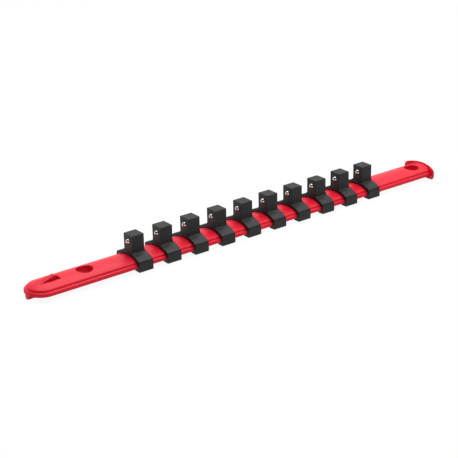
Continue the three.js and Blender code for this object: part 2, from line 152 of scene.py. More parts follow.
class StopSizes(bpy.types.PropertyGroup):
    """Sizes of the bowed end stop."""

    bow: length("Bow", "The middle stands this far ahead of the tips", 4.2)
    wall: length("Wall", "Thickness", 2.8)
    sag: length("Top sag", "Fall of the crowned top from its middle to its tips", 3.3)
    shoulder: length("Upper corners", "Rounding seen along the rail", 4.5)
    corner: length("Lower corners", "Rounding seen along the rail", 4.4)
    rim: length("Rim rounding", "Edges of the wall's inner face", 0.5)
    back: length("Back rounding", "Edges of the wall's outer face", 2.1)
    fillet: length("Fillet", "Reach of the hollow between plateau and wall", 3.4)
    fillet_rise: length("Fillet rise", "Most height of that hollow on the wall", 2.8)


class LatchSizes(bpy.types.PropertyGroup):
    """Sizes of the sprung latch ramp and its slot."""

    nose: length("Nose", "Rounding of the free end's top", 1.1)
    tip_width: length("Tip width", "Across the free end; the root is wider", 4.2)
    side_gap: length("Side gap", "Between the ramp's root and the slot's sides", 0.6)
    end_gap: length("End gap", "Open slot ahead of the free end", 4)
    edge: length("Edge", "Rounding of the ramp's long edges", 0.35)
    bend: length("Bend", "Length that bends when the ramp is pressed", 3.5)


class ClipSizes(bpy.types.PropertyGroup):
    """Sizes of the clips and their studs."""

    arch_radius: length("Arch radius", "Outside of the saddle", 33.3)
    stud_side: length("Stud", "Side of the square drive stud", 12.7)
    stud_height: length("Stud height", "Above the top of the arch", 15.4)
    stud_corner: length("Stud corners", "Rounding of the upright edges", 0.35)
    stud_edge: length("Stud top edge", "Rounding round the stud's top", 0.32)
    root_along: length("Root along", "Reach of the stud's fillet along the rail", 0.6)
    root_across: length("Root across", "Reach of the stud's fillet across the rail", 2.6)
    root_rise: length("Root rise", "Height of the stud's fillet", 2.6)
    shoulder: length("Shoulder", "Rounding from the arch to the sides", 2.2)
    floor_round: length("Lower edge", "Rounding of the sides' lower edges", 0.5)
    edge: length("End edges", "Rounding of the two end faces' edges", 0.4)
    clearance: length("Clearance", "Between the rail and the clip", 0.3)
    lip_reach: length("Lip reach", "From the sides in to the lips' edges", 7.5)
    mouth_edge: length("Mouth edge", "Rounding where the rail goes in", 0.3)


class DetentSizes(bpy.types.PropertyGroup):
    """Sizes of the ball's bore, the ball and its spring."""

    mouth_diameter: length("Mouth", "Narrower than the ball, so that it stays in", 4.9)
    mouth_edge: length("Mouth edge", "Softened edge round the mouth", 0.15)
    lip_depth: length("Lip", "Depth of the mouth's cone", 0.9)
    bore_diameter: length("Bore", "Diameter behind the mouth", 5.4)
    bore_depth: length("Bore depth", "From the stud's face", 9)
    wire: length("Wire", "Diameter of the spring's wire", 0.5)
    turns: amount("Turns", "Turns of the spring", 3.5, min=1)
    curl_steps: IntProperty(name="Steps", description="Points in a turn", default=32, min=8)


class Finishes(bpy.types.PropertyGroup):
    """Colours of the materials."""

    rail: colour("Rail", "Red moulded plastic", (0.82, 0.007, 0.031))
    clip: colour("Clip", "Black moulded plastic", (0.009, 0.009, 0.0095))
    ball: colour("Ball", "Polished steel", (0.74, 0.74, 0.75))
    spring: colour("Spring", "Drawn spring wire", (0.55, 0.55, 0.57))
    floor: colour("Floor", "Floor and backdrop", (0.9, 0.9, 0.9))


class StageSizes(bpy.types.PropertyGroup):
    """The camera, the floor and the room's light."""

    camera_place: vector(
        "Camera", "Where the camera stands", (-0.67776, -0.86117, 0.45029), unit="LENGTH"
    )
    camera_right: direction(
        "Camera right", "Direction to the picture's right", (0.789711, -0.613156, -0.019661)
    )
    camera_up: direction(
        "Camera up", "Direction to the picture's top", (0.246940, 0.288381, 0.925117)
    )
    lens: amount("Lens", "Focal length in millimetres", 100.53)
    floor_side: length("Floor side", "Side of the square floor", 6000)
    floor_glow: amount(
        "Floor glow",
        "Share of the floor that shows plain white; the rest takes the shadow",
        0.93,
        min=0,
        max=1,
    )
    hidden_start: length("Hidden floor start", "From the latch tip to the dim floor", 20)
    hidden_front: length("Hidden floor front", "Reach of the dim floor towards -Y", 3)
    hidden_back: length("Hidden floor back", "Reach of the dim floor towards +Y", 25)
    hidden_edge: length("Hidden floor edge", "Soft edge of the dim floor", 3)
    bright_side: direction(
        "Bright side", "Direction to the brightest part of the room", (0.62, 0.48, 0.62)
    )
    room_level: amount("Room level", "Light that the room gives", 0.75, min=0)
    mirror_level: amount("Mirror level", "How bright the room is in reflections", 0.8, min=0)
    room_dim: amount("Room dim", "Share of the light in front", 0.04, min=0, max=1)


class RailShape:
    """Heights and places that follow from the rail's sizes."""

    def __init__(self, sizes, stop):
        self.sizes = sizes
        self.half = sizes.width / 2
        self.plateau = sizes.plateau_width / 2
        self.skirt = self.half - sizes.skirt_wall
        self.ceiling = self.plateau - sizes.plate_wall
        self.underside = sizes.stand_height
        self.strip_edge = self.underside + sizes.side_height
        self.groove = self.strip_edge + sizes.strip_fall
        self.crown = self.groove + sizes.step_depth + sizes.crown_sag
        self.crown_radius = bow_radius(self.plateau, sizes.crown_sag)
        self.end_x = RAIL_LOW.x + self.half
        self.stop_half = RAIL_HIGH.y
        stop_radius = bow_radius(self.stop_half, stop.bow)
        self.stop_inner = stop_radius - stop.wall
        self.stop_middle = stop_radius - stop.wall / 2
        self.stop_x = RAIL_HIGH.x - stop_radius
        self.stop_crown_radius = bow_radius(self.stop_half, stop.sag)
        latch_hole = RAIL_LOW.x + sizes.latch_hole_inset
        self.holes = [latch_hole, RAIL_HIGH.x - sizes.stop_hole_inset]

    def crown_at(self, distance):
        """Height of the plateau at a distance from the rail's middle line."""
        return bow_at(self.crown, self.crown_radius, distance)

    def top_at(self, x, y):
        """Height of the plateau at a place, over its domed latch end too."""
        return self.crown_at(math.hypot(min(x - self.end_x, 0), y))

    def half_section(self):
        """The rail's outline from its lower edge to its crown: (distance from the middle, z)."""
        sizes = self.sizes
        strip = self.half - self.plateau - sizes.groove_lean - sizes.groove_land
        groove_y = self.plateau + sizes.groove_lean + sizes.groove_land
        points = [
            (self.half - 2 * sizes.lower_round, self.underside, 0),
            (self.half, self.underside, sizes.lower_round),
        ]
        for turn in spread(0, QUARTER, 8):
            y = groove_y + strip * math.cos(turn)
            points.append((y, self.strip_edge + sizes.strip_fall * math.sin(turn), 0))
        points.append((self.plateau + sizes.groove_lean, self.groove, sizes.groove_round))
        points.append((self.plateau, self.crown_at(self.plateau), sizes.shoulder_round))
        start = self.plateau - sizes.shoulder_round
        points += [(y, self.crown_at(y), 0) for y in spread(start, sizes.crown_land, 14)]
        return rounded(points)

    def ring(self, half, z):
        """A level ring of the rail: half round at the latch end, bowed at the stop."""
        reach = math.asin(half / self.stop_middle)
        latch_end = arc(self.end_x, 0, half, QUARTER, 3 * QUARTER, 48)
        return level(latch_end + arc(self.stop_x, 0, self.stop_middle, -reach, reach, 24), z)


class ClipShape:
    """Heights and places that follow from the clip's sizes, on a clip whose middle is x = 0."""

    def __init__(self, sizes):
        self.sizes = sizes
        self.half = CLIP_HIGH.y
        self.length = CLIP_HIGH.x - CLIP_LOW.x
        self.floor = CLIP_LOW.z
        self.saddle = CLIP_HIGH.z - sizes.stud_height
        self.stud_half = sizes.stud_side / 2

    def arch_at(self, y):
        """Height of the arch's outside."""
        return bow_at(self.saddle, self.sizes.arch_radius, y)

    def outline(self):
        """The closed outline across the rail, before the tunnel is cut."""
        sizes = self.sizes
        top = arched_top(self.half, self.saddle, sizes.arch_radius, sizes.shoulder, 24)
        return over_corners(top, self.half, self.floor, sizes.floor_round, 5)


def bow_radius(half, rise):
    """Radius of a bow that rises over half its width."""
    return (half**2 + rise**2) / (2 * rise)


def bow_at(top, radius, distance):
    """Height of a round top at a distance from its middle."""
    return top - radius + math.sqrt(radius**2 - distance**2)


def spread(start, end, steps):
    """Values from start to end in even steps."""
    return [start + (end - start) * step / steps for step in range(steps + 1)]


def arc(cx, cy, radius, start, end, steps):
    """Points of an arc in a plane, from one angle to another."""
    turns = spread(start, end, steps)
    return [(cx + radius * math.cos(turn), cy + radius * math.sin(turn)) for turn in turns]


def circle(cx, cy, radius, steps):
    """Points round a circle in a plane."""
    return arc(cx, cy, radius, 0, 4 * QUARTER, steps)[:-1]


def level(points, z):
    """A level ring through (x, y) points."""
    return [Vector((x, y, z)) for x, y in points]


def upright(points, x):
    """An upright ring across the rail through (y, z) points."""
    return [Vector((x, y, z)) for y, z in points]


def rounded(points, steps=5):
    """An open outline of (a, b, radius) points, with an arc at each point that has a radius."""
    outline = []
    for place, (a, b, radius) in enumerate(points):
        here = Vector((a, b))
        if radius == 0:
            outline.append((a, b))
            continue
        back = (Vector(points[place - 1][:2]) - here).normalized()
        ahead = (Vector(points[place + 1][:2]) - here).normalized()
        opening = back.angle(ahead)
        centre = here + (back + ahead).normalized() * (radius / math.sin(opening / 2))
        first = here + back * (radius / math.tan(opening / 2)) - centre
        last = here + ahead * (radius / math.tan(opening / 2)) - centre
        start = math.atan2(first.y, first.x)
        sweep = math.atan2(first.cross(last), first.dot(last))
        outline.extend(arc(centre.x, centre.y, radius, start, start + sweep, steps))
    return outline


def arched_top(half, top, radius, shoulder, steps):
    """An outline's arched top with rounded shoulders, from its +Y side to its -Y side."""
    middle = top - radius
    inner = half - shoulder
    shoulder_z = middle + math.sqrt((radius - shoulder) ** 2 - inner**2)
    meet = math.atan2(shoulder_z - middle, inner)
    return [
        *arc(inner, shoulder_z, shoulder, 0, meet, 6),
        *arc(0, middle, radius, meet, 2 * QUARTER - meet, steps)[1:-1],
        *arc(-inner, shoulder_z, shoulder, 2 * QUARTER - meet, 2 * QUARTER, 6),
    ]


def over_corners(top, half, floor, low, steps):
    """A closed outline: the points of its top over two rounded lower corners."""
    return [
        *arc(half - low, floor + low, low, -QUARTER, 0, steps),
        *top,
        *arc(low - half, floor + low, low, 2 * QUARTER, 3 * QUARTER, steps),
    ]


def offset(points, distance):
    """A closed outline moved outwards; its points run anticlockwise."""
    moved = []
    for place, point in enumerate(points):
        here = Vector(point)
        back = (here - Vector(points[place - 1])).normalized()
        ahead = (Vector(points[(place + 1) % len(points)]) - here).normalized()
        along = (back + ahead).normalized()
        out = Vector((along.y, -along.x))
        stretch = max(0.5, out.dot(Vector((back.y, -back.x))))
        moved.append(tuple(here + out * (distance / stretch)))
    return moved


def round_edge(outline, edge, depth, steps):
    """A rounded edge at one end of a body: outlines and how far they lie from its middle."""
    rings = []
    for turn in spread(0, QUARTER, steps):
        points = offset(outline, -edge * (1 - math.sin(turn)))
        rings.append((points, edge * (1 - math.cos(turn)) - depth / 2))
    return rings


def loft(name, rings):
    """A closed mesh object through rings of as many points each, with flat ends."""
    mesh = bmesh.new()
    rows = [[mesh.verts.new(point) for point in ring] for ring in rings]
    for low, high in zip(rows, rows[1:]):
        for place in range(len(low)):
            after = (place + 1) % len(low)
            mesh.faces.new((low[place], low[after], high[after], high[place]))
    mesh.faces.new(reversed(rows[0]))
    mesh.faces.new(rows[-1])
    bmesh.ops.recalc_face_normals(mesh, faces=mesh.faces)
    return mesh_object(name, mesh)


def mesh_object(name, mesh):
    """A new object in the scene from a bmesh, which is freed."""
    data = bpy.data.meshes.new(name)
    mesh.to_mesh(data)
    mesh.free()
    shape = bpy.data.objects.new(name, data)
    bpy.context.scene.collection.objects.link(shape)
    return shape


def post(name, x, levels, steps=64):
    """An upright round body at a place along the rail, through (radius, z) levels."""
    return loft(name, [level(circle(x, 0, radius, steps), z) for radius, z in levels])


def rod(name, z, levels, steps=48):
    """A round body along X at a height, through (radius, x) levels."""
    return loft(name, [upright(circle(0, z, radius, steps), x) for radius, x in levels])


def upright_box(name, low, high, half):
    """A box along X from one (x, z) corner to the other, as wide to both sides."""
    corners = ((low[0], -half), (high[0], -half), (high[0], half), (low[0], half))
    return loft(name, [level(corners, z) for z in (low[1], high[1])])


def remove(shape):
    data = shape.data
    bpy.data.objects.remove(shape)
    bpy.data.meshes.remove(data)


def settle(shape):
    """Turns the object's live modifiers into its plain mesh."""
    bpy.context.view_layer.update()
    graph = bpy.context.evaluated_depsgraph_get()
    evaluated = shape.evaluated_get(graph)
    data = bpy.data.meshes.new_from_object(
        evaluated, preserve_all_data_layers=True, depsgraph=graph
    )
    old = shape.data
    shape.modifiers.clear()
    shape.data = data
    data.name = shape.name
    if old.users == 0:
        bpy.data.meshes.remove(old)
    return shape


def combine(shape, other, operation):
    """Joins to the shape, or cuts from it, another closed body, which is used up."""
    modifier = shape.modifiers.new(operation.title(), "BOOLEAN")
    modifier.object = other
    modifier.operation = operation
    modifier.solver = "MANIFOLD"
    settle(shape)
    remove(other)
    if not shape.data.polygons:
        raise RuntimeError(f"{shape.name} has no faces left after a {operation.lower()}")
    return shape


def smooth(shape):
    """Smooth shading that stays crisp at real edges, with the large faces kept even."""
    mesh = bmesh.new()
    mesh.from_mesh(shape.data)
    bmesh.ops.remove_doubles(mesh, verts=mesh.verts, dist=MERGE)
    bmesh.ops.dissolve_degenerate(mesh, edges=mesh.edges, dist=MERGE / 2)
    for face in mesh.faces:
        face.smooth = True
    for edge in mesh.edges:
        edge.smooth = edge.is_manifold and edge.calc_face_angle(0) < SHARP_ANGLE
    mesh.to_mesh(shape.data)
    mesh.free()
    weights = shape.modifiers.new("Even normals", "WEIGHTED_NORMAL")
    weights.keep_sharp = True
    return settle(shape)


def dress(shape, slot, body, *nodes):
    """Gives a finished piece its slot's material and its body, and the nodes it stands for."""
    shape.data.materials.clear()
    shape.data.materials.append(material_of(slot))
    if body is not None:
        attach(shape, body)
    if nodes:
        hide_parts(*nodes)
    return shape


class Wire:
    """A socket in a tree of nodes; arithmetic on it adds Math nodes."""

    def __init__(self, nodes, socket):
        self.nodes = nodes
        self.socket = socket

    def maths(self, operation, *values):
        return self.nodes.node("ShaderNodeMath", {"operation": operation}, dict(enumerate(values)))

    def __add__(self, other):
        return self.maths("ADD", self, other)

    def __radd__(self, other):
        return self.maths("ADD", other, self)

    def __sub__(self, other):
        return self.maths("SUBTRACT", self, other)

    def __rsub__(self, other):
        return self.maths("SUBTRACT", other, self)

    def __mul__(self, other):
        return self.maths("MULTIPLY", self, other)

    def __rmul__(self, other):
        return self.maths("MULTIPLY", other, self)

    def within(self, low, high):
        """The value as a share of the way from low to high, held between 0 and 1."""
        values = {"Value": self, "From Min": low, "From Max": high}
        return self.nodes.node("ShaderNodeMapRange", {"clamp": True}, values)


class Nodes:
    """A tree of nodes that is built node by node."""

    def __init__(self, tree):
        self.tree = tree

    def node(self, kind, settings, values, output=0):
        """A new node with its settings, then its sockets' values or links, as a wire."""
        node = self.tree.nodes.new(kind)
        for key, value in settings.items():
            setattr(node, key, value)
        for key, value in values.items():
            self.feed(node.inputs[key], value)
        return Wire(self, node.outputs[output])

    def feed(self, socket, value):
        if isinstance(value, Wire):
            self.tree.links.new(value.socket, socket)
        else:
            socket.default_value = value


class Shading(Nodes):
    """The shader nodes of a material or of the world."""

    def __init__(self, tree, output):
        super().__init__(tree)
        tree.nodes.clear()
        self.output = tree.nodes.new(output)

    def show(self, shader):
        self.feed(self.output.inputs["Surface"], shader)

    def ray(self, kind):
        """1 where the surface is seen by a ray of this kind, and otherwise 0."""
        return self.node("ShaderNodeLightPath", {}, {}, kind)

    def split(self, place, *axes):
        """The named parts of a vector, as wires."""
        parts = self.node("ShaderNodeSeparateXYZ", {}, {"Vector": place}).socket.node
        return [Wire(self, parts.outputs[axis]) for axis in axes]


class Finish(Shading):
    """A material with a Principled shader."""

    def __init__(self, name, sockets):
        self.material = bpy.data.materials.new(name)
        self.material.use_nodes = True
        super().__init__(self.material.node_tree, "ShaderNodeOutputMaterial")
        shader = self.node("ShaderNodeBsdfPrincipled", {}, sockets)
        self.inputs = shader.socket.node.inputs
        self.plain = shader
        self.show(shader)

    def set(self, socket, value):
        self.feed(self.inputs[socket], value)

    def coordinates(self):
        return self.node("ShaderNodeTexCoord", {}, {}, "Object")

    def noise(self, scale, detail, stretch=(1, 1, 1)):
        """A noise from 0 to 1 whose cells are about 1 / scale metres, stretched along an axis."""
        values = {"Vector": self.coordinates(), "Scale": stretch}
        place = self.node("ShaderNodeMapping", {}, values)
        values = {"Vector": place, "Scale": scale, "Detail": detail}
        return self.node("ShaderNodeTexNoise", {}, values, "Fac")

    def paint(self, base, share, dark, light):
        """Base Color between a darker and a lighter shade of a colour."""
        shades = [(*(min(1, part * factor) for part in base), 1) for factor in (dark, light)]
        values = {0: share, 6: shades[0], 7: shades[1]}
        self.set("Base Color", self.node("ShaderNodeMix", {"data_type": "RGBA"}, values, 2))

    def bump(self, height, depth):
        """Raises the surface by a height from 0 to 1, over a depth in metres."""
        values = {"Height": height, "Distance": depth, "Strength": 1}
        self.set("Normal", self.node("ShaderNodeBump", {}, values))


def red_plastic(finishes):
    """Semi-gloss moulded plastic: faint flow marks, a fine skin and light rubbing along X."""
    finish = Finish("red_plastic", {"IOR": 1.46, "Specular IOR Level": 0.26})
    flow = finish.noise(26, 3, (0.35, 1, 1)).within(0.3, 0.7)
    finish.paint(finishes.rail, flow, 0.95, 1.04)
    rubbing = finish.noise(700, 4, (0.02, 1, 1)).within(0.45, 0.75)
    cloud = finish.noise(90, 2)
    finish.set("Roughness", 0.33 + 0.06 * cloud + 0.05 * rubbing)
    finish.bump(finish.noise(2600, 2) + 0.3 * rubbing, 0.012 * MM)
    return finish.material


def black_plastic(finishes):
    """Satin black plastic with a fine eroded grain, slightly greyer where it is rubbed."""
    finish = Finish("black_plastic", {"IOR": 1.46, "Specular IOR Level": 0.4})
    cloud = finish.noise(160, 3).within(0.35, 0.7)
    finish.paint(finishes.clip, cloud, 0.85, 1.35)
    grain = finish.noise(2300, 3)
    finish.set("Roughness", 0.42 + 0.12 * grain + 0.05 * cloud)
    finish.bump(grain, 0.03 * MM)
    return finish.material


def ball_steel(finishes):
    """Polished bearing steel with hair-fine polishing marks."""
    finish = Finish("ball_steel", {"Metallic": 1})
    marks = finish.noise(5200, 3, (1, 0.2, 1)).within(0.4, 0.8)
    finish.paint(finishes.ball, marks, 1, 0.93)
    finish.set("Roughness", 0.14 + 0.06 * marks)
    return finish.material


def spring_steel(finishes):
    """Drawn wire with streaks along X."""
    finish = Finish("spring_steel", {"Metallic": 1})
    streaks = finish.noise(3800, 3, (0.3, 1, 1)).within(0.35, 0.7)
    finish.paint(finishes.spring, streaks, 0.8, 1.1)
    finish.set("Roughness", 0.26 + 0.16 * streaks)
    return finish.material


MATERIALS = {
    "red_plastic": red_plastic,
    "black_plastic": black_plastic,
    "ball_steel": ball_steel,
    "spring_steel": spring_steel,
}


def material_of(slot):
    """The material of a slot, made when it is first asked for."""
    found = bpy.data.materials.get(slot)
    if found is None or "made_here" not in found:
        if found is not None:
            found.name = slot + "_frame"
        found = MATERIALS[slot](bpy.context.scene.rail_finishes)
        found["made_here"] = True
    return found


class Growth(Nodes):
    """A Geometry Nodes tree with named inputs, the last of which is the material."""

    def __init__(self, name, **inputs):
        super().__init__(bpy.data.node_groups.new(name, "GeometryNodeTree"))
        self.tree.is_modifier = True
        self.sockets = {}
        face = self.tree.interface
        for label, kind in {**inputs, "material": "Material"}.items():
            socket = face.new_socket(
                name=label.replace("_", " ").capitalize(),
                in_out="INPUT",
                socket_type="NodeSocket" + kind,
            )
            self.sockets[label] = socket.identifier
        face.new_socket(name="Geometry", in_out="OUTPUT", socket_type="NodeSocketGeometry")
        self.inputs = self.tree.nodes.new("NodeGroupInput")

    def input(self, label):
        return Wire(self, self.inputs.outputs[list(self.sockets).index(label)])

    def mesh_of(self, label):
        """The mesh of the object that this input names."""
        return self.node("GeometryNodeObjectInfo", {}, {"Object": self.input(label)}, "Geometry")

    def finish(self, geometry):
        """Ends the tree: instances made real, and the material set."""
        real = self.node("GeometryNodeRealizeInstances", {}, {"Geometry": geometry})
        values = {"Geometry": real, "Material": self.input("material")}
        dressed = self.node("GeometryNodeSetMaterial", {}, values)
        self.feed(self.tree.nodes.new("NodeGroupOutput").inputs["Geometry"], dressed)
        return self

    def grow(self, name, slot, body, *nodes, **values):
        """A dressed piece with the plain mesh that the tree makes from these input values."""
        shape = mesh_object(name, bmesh.new())
        modifier = shape.modifiers.new("Growth", "NODES")
        modifier.node_group = self.tree
        for label, value in {**values, "material": material_of(slot)}.items():
            modifier[self.sockets[label]] = value
        return dress(smooth(settle(shape)), slot, body, *nodes)


def copies_tree():
    """Sets one shape down at a place along the rail."""
    tree = Growth("shape_at_place", shape="Object", place="Vector")
    values = {"Geometry": tree.mesh_of("shape"), "Translation": tree.input("place")}
    return tree.finish(tree.node("GeometryNodeTransform", {}, values))


def ribs_tree():
    """Sets down a row of cross ribs at even steps."""
    tree = Growth("rib_row", shape="Object", count="Int", start="Vector", step="Vector")
    values = {"Count": tree.input("count"), "Offset": tree.input("step")}
    values["Start Location"] = tree.input("start")
    line = tree.node("GeometryNodeMeshLine", {}, values)
    values = {"Points": line, "Instance": tree.mesh_of("shape")}
    return tree.finish(tree.node("GeometryNodeInstanceOnPoints", {}, values))


def spring_tree():
    """Winds a round wire into an open coil along X."""
    tree = Growth(
        "wire_coil",
        turns="Float",
        steps="Int",
        radius="Float",
        height="Float",
        wire_radius="Float",
        place="Vector",
    )
    values = {
        "Resolution": tree.input("steps"),
        "Rotations": tree.input("turns"),
        "Start Radius": tree.input("radius"),
        "End Radius": tree.input("radius"),
        "Height": tree.input("height"),
    }
    coil = tree.node("GeometryNodeCurveSpiral", {}, values)
    circle = {"Resolution": 12, "Radius": tree.input("wire_radius")}
    section = tree.node("GeometryNodeCurvePrimitiveCircle", {}, circle)
    values = {"Curve": coil, "Profile Curve": section, "Fill Caps": True}
    wire = tree.node("GeometryNodeCurveToMesh", {}, values)
    values = {"Geometry": wire, "Rotation": (0, QUARTER, 0), "Translation": tree.input("place")}
    return tree.finish(tree.node("GeometryNodeTransform", {}, values))


def rail_hollow(shape, latch):
    """The hollow between the skirts, without the bosses, the slot's walls and the foot's root."""
    sizes = shape.sizes
    levels = [(shape.skirt, shape.underside - OVERRUN), (shape.skirt, shape.underside)]
    for y in spread(shape.ceiling, sizes.crown_land, 12):
        levels.append((y, shape.crown_at(y) - sizes.plate_wall))
    end = shape.stop_x + shape.stop_inner - sizes.skirt_wall - 3 * SEAT
    rings = []
    for half, z in levels:
        latch_end = arc(shape.end_x, 0, half, QUARTER, 3 * QUARTER, 48)
        rings.append(level(latch_end + [(end, -half), (end, half)], z))
    hollow = loft("hollow", rings)
    radius = sizes.hole_diameter / 2 + sizes.boss_wall
    for x in shape.holes:
        boss = post("boss", x, [(radius, -2 * OVERRUN), (radius, shape.crown)])
        combine(hollow, boss, "DIFFERENCE")
    low = (RAMP_LOW.x, shape.underside + sizes.rib_recess)
    high = (RAMP_HIGH.x + latch.end_gap + sizes.slot_rib_gap, shape.crown)
    half = RAMP_HALF + latch.side_gap + sizes.rib_wall
    combine(hollow, upright_box("slot_walls", low, high, half), "DIFFERENCE")
    low = (RAIL_LOW.x - OVERRUN, -2 * OVERRUN)
    high = (RAIL_LOW.x + sizes.foot_length + sizes.boss_wall / 2, shape.crown)
    half = sizes.foot_width / 2 + sizes.boss_wall / 2
    return combine(hollow, upright_box("foot_root", low, high, half), "DIFFERENCE")


def latch_foot(shape):
    """The short keel under the latch end, inside the end's curve."""
    sizes = shape.sizes
    half = sizes.foot_width / 2
    top = [(half, shape.strip_edge), (-half, shape.strip_edge)]
    outline = over_corners(top, half, 0, sizes.foot_round, 8)
    ends = (RAIL_LOW.x - OVERRUN, RAIL_LOW.x + sizes.foot_length)
    keel = loft("keel", [upright(outline, x) for x in ends])
    radius = shape.half - sizes.foot_inset
    levels = [(radius, -OVERRUN), (radius, shape.crown)]
    return combine(keel, post("end", shape.end_x, levels, steps=160), "INTERSECT")


def stop_wall(shape, sizes):
    """The bowed upright wall with rounded edges and a crowned top."""
    half = shape.stop_half
    top = arched_top(half, RAIL_HIGH.z, shape.stop_crown_radius, sizes.shoulder, 40)
    outline = over_corners(top, half, 0, sizes.corner, 10)
    rings = half_wall(outline, sizes.rim, sizes.wall)
    outer = half_wall(outline, sizes.back, sizes.wall)
    rings += [(points, -depth) for points, depth in reversed(outer)]
    return loft("stop", [[bowed(shape, y, z, depth) for y, z in ring] for ring, depth in rings])


def half_wall(outline, rim, wall):
    """The wall's inner face and its rounded edge: rings and their depths in the wall."""
    centre = Vector((0, RAIL_HIGH.z / 2))
    inner = offset(outline, -rim)
    face_shares = (0.02, 0.2, 0.4, 0.6, 0.8)
    face = [[centre.lerp(Vector(point), share) for point in inner] for share in face_shares]
    return [(points, -wall / 2) for points in face] + round_edge(outline, rim, wall, 6)


def bowed(shape, y, z, depth):
    """A point of the stop's wall: y is where it ends up across the rail."""
    radius = shape.stop_middle + depth
    turn = math.asin(y / (shape.stop_middle + abs(depth)))
    return Vector((shape.stop_x + radius * math.cos(turn), radius * math.sin(turn), z))


def stop_fillet(shape, sizes):
    """The hollow transition from the plateau to the stop's wall, smaller towards its two ends."""
    sink, fade = 0.1 * MM, 0.85
    reach = math.asin((shape.plateau - shape.sizes.shoulder_round / 2) / shape.stop_inner)
    wall = shape.stop_inner + SEAT
    rings = []
    for place in spread(-1, 1, 40):
        ease = 1 - fade * place**4
        turn = reach * place
        y = shape.stop_inner * math.sin(turn)
        ground = shape.crown_at(abs(y)) - sink
        room = bow_at(RAIL_HIGH.z, shape.stop_crown_radius, y) - ground - sizes.rim / 2
        rise = min(room, sizes.fillet_rise) * ease
        wide = sizes.fillet * ease
        foot = shape.stop_inner - wide
        section = [(wall, -SEAT), (foot, -SEAT)]
        section += [(foot + wide * a, rise * (1 + b)) for a, b in arc(0, 0, 1, -QUARTER, 0, 8)]
        section.append((wall, rise))
        rings.append([
            Vector((shape.stop_x + r * math.cos(turn), r * math.sin(turn), ground + lift))
            for r, lift in section
        ])
    return loft("stop_fillet", rings)


def flared(name, shape, outline, draft=0, weight=lambda x: 1):
    """A cutter through the plate whose top edge is rounded where it leaves the crowned top."""
    rim = shape.sizes.rim_round
    rings = [level(offset(outline, -draft), z) for z in (-OVERRUN, shape.underside)]
    nearly_level = math.radians(84)
    turns = spread(0, nearly_level, 6)
    swell = [(rim * (1 - math.cos(turn)), rim * (math.sin(turn) - 1)) for turn in turns]
    outside = (rim * 1.1, SEAT / 8)  # past the rounding and clear of the crowned top
    for wider, lift in (*swell, outside):
        wide = [mixed(a, b, weight(a[0])) for a, b in zip(outline, offset(outline, wider))]
        rings.append([Vector((x, y, shape.top_at(x, y) + lift)) for x, y in wide])
    rings.append(level(wide, shape.crown + OVERRUN))
    return loft(name, rings)


def mixed(first, second, share):
    return tuple(a + (b - a) * share for a, b in zip(first, second))


def latch_slot(shape, latch):
    """The slot round the ramp; its edge stays crisp at the ramp's root."""
    corner, fade = 0.5 * MM, 3 * MM
    half = RAMP_HALF + latch.side_gap
    start = RAMP_LOW.x - HINGE_GAP
    end = RAMP_HIGH.x + latch.end_gap
    sides = spread(start, end - corner, 20)[:-1]
    outline = [(x, -half) for x in sides]
    outline += arc(end - corner, corner - half, corner, -QUARTER, 0, 5)
    outline += arc(end - corner, half - corner, corner, 0, QUARTER, 5)
    outline += [(x, half) for x in reversed(sides)]
    return flared("slot", shape, outline, weight=lambda x: max(0, min(1, (x - start) / fade)))


def rail_moulding(rail, stop, latch):
    """The whole rail moulding as one closed mesh."""
    shape = RailShape(rail, stop)
    moulding = loft("rail_moulding", [shape.ring(y, z) for y, z in shape.half_section()])
    combine(moulding, rail_hollow(shape, latch), "DIFFERENCE")
    combine(moulding, latch_foot(shape), "UNION")
    combine(moulding, stop_wall(shape, stop), "UNION")
    combine(moulding, stop_fillet(shape, stop), "UNION")
    for x in shape.holes:
        outline = circle(x, 0, rail.hole_diameter / 2, 72)
        combine(moulding, flared("hole", shape, outline, rail.hole_draft), "DIFFERENCE")
    combine(moulding, latch_slot(shape, latch), "DIFFERENCE")
    return smooth(moulding)


def rib_shape(shape):
    """One cross rib with a rounded lower edge, its top sunk into the plate."""
    sizes = shape.sizes
    low = shape.underside + sizes.rib_recess
    corner_z = shape.crown_at(shape.ceiling) - sizes.plate_wall
    outline = [(-shape.skirt, low), (shape.skirt, low), (shape.ceiling, corner_z)]
    for place in spread(1, -1, 12)[1:-1]:
        y = shape.ceiling * place
        outline.append((y, shape.crown_at(abs(y)) - sizes.plate_wall / 2))
    outline.append((-shape.ceiling, corner_z))
    half = sizes.rib_wall / 2
    edge = half / 2
    rings = []
    for x, lift in ((-half, edge), (edge - half, 0), (half - edge, 0), (half, edge)):
        rings.append(upright([(y, max(z, low + lift)) for y, z in outline], x))
    return loft("rib", rings)


